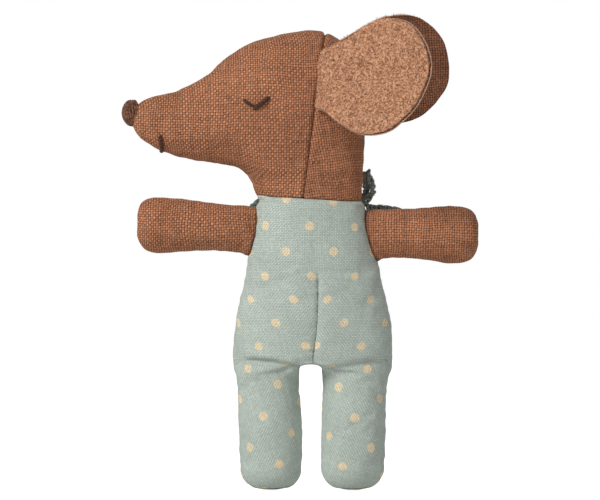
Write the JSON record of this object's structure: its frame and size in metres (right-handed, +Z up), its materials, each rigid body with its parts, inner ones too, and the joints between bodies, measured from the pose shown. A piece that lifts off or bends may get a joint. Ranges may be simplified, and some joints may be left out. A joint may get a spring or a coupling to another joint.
{
  "type": "stuffed cloth mouse",
  "caption": "Sewn and stuffed cloth mouse with its head in profile, soft jointed limbs, fleece-lined ears and a crocheted cord tail.",
  "frame": {"origin": "on the floor, at the middle of the bounding box in X and Y", "axes": "+Z up, the belly faces -Y, the snout points to -X, so the mouse's own left side is +X"},
  "size_m": [0.0715, 0.0402, 0.0957],
  "materials": {
    "brown_linen": "matte",
    "mint_cotton": "matte",
    "tan_fleece": "matte",
    "brown_yarn": "matte",
    "grey_green_cord": "matte",
    "mint_thread": "matte",
    "white_stuffing": "matte"
  },
  "bodies": {
    "torso": {"torso_front_panel": "mint_cotton", "torso_back_left_panel": "mint_cotton", "torso_back_right_panel": "mint_cotton", "torso_stuffing": "white_stuffing", "belly_dart_thread": "mint_thread", "back_closing_thread": "mint_thread"},
    "head": {"face_front_panel": "brown_linen", "face_rear_panel": "brown_linen", "nape_front_panel": "brown_linen", "nape_rear_panel": "brown_linen", "head_stuffing": "white_stuffing", "eye_front_stitches": "brown_yarn", "eye_rear_stitches": "brown_yarn", "mouth_stitch": "brown_yarn", "nose_stitches": "brown_yarn"},
    "front_ear": {"front_ear_lining": "tan_fleece", "front_ear_backing": "brown_linen"},
    "rear_ear": {"rear_ear_lining": "tan_fleece", "rear_ear_backing": "brown_linen"},
    "left_arm": {"left_arm_front_panel": "brown_linen", "left_arm_back_panel": "brown_linen", "left_arm_stuffing": "white_stuffing"},
    "right_arm": {"right_arm_front_panel": "brown_linen", "right_arm_back_panel": "brown_linen", "right_arm_stuffing": "white_stuffing"},
    "left_leg": {"left_leg_front_panel": "mint_cotton", "left_leg_back_panel": "mint_cotton", "left_leg_stuffing": "white_stuffing"},
    "right_leg": {"right_leg_front_panel": "mint_cotton", "right_leg_back_panel": "mint_cotton", "right_leg_stuffing": "white_stuffing"},
    "tail_lower": {"tail_lower_cord": "grey_green_cord"},
    "tail_upper": {"tail_upper_cord": "grey_green_cord"}
  },
  "joints": [
    {"name": "head_nod", "type": "hinge", "parent": "torso", "child": "head", "pos_m": [0.00225, 0.0032, 0.06], "axis": [1, 0, 0], "range_deg": [-20, 20]},
    {"name": "left_arm_swing", "type": "hinge", "parent": "torso", "child": "left_arm", "pos_m": [0.01585, 0.0032, 0.05135], "axis": [0.2169, 0, -0.9762], "range_deg": [-40, 70]},
    {"name": "right_arm_swing", "type": "hinge", "parent": "torso", "child": "right_arm", "pos_m": [-0.0114, 0.0032, 0.052], "axis": [0.1817, 0, 0.9834], "range_deg": [-40, 70]},
    {"name": "left_hip", "type": "hinge", "parent": "torso", "child": "left_leg", "pos_m": [0.01105, 0.0032, 0.0206], "axis": [-1, 0, 0], "range_deg": [-20, 85]},
    {"name": "right_hip", "type": "hinge", "parent": "torso", "child": "right_leg", "pos_m": [-0.007, 0.0032, 0.0206], "axis": [-1, 0, 0], "range_deg": [-20, 85]},
    {"name": "front_ear_fold", "type": "hinge", "parent": "head", "child": "front_ear", "pos_m": [0.00384, -0.00552, 0.08274], "axis": [-0.129, -0.2521, -0.9591], "range_deg": [-10, 55]},
    {"name": "rear_ear_fold", "type": "hinge", "parent": "head", "child": "rear_ear", "pos_m": [0.00384, 0.01191, 0.08274], "axis": [-0.048, -0.2521, 0.9665], "range_deg": [-4, 55]},
    {"name": "tail_root", "type": "hinge", "parent": "torso", "child": "tail_lower", "pos_m": [0.00225, 0.0119, 0.0335], "axis": [-1, 0, 0], "range_deg": [0, 150]},
    {"name": "tail_bend", "type": "hinge", "parent": "tail_lower", "child": "tail_upper", "pos_m": [-0.00155, 0.01165, 0.0602], "axis": [0, 0, 1], "range_deg": [0, 100]}
  ]
}
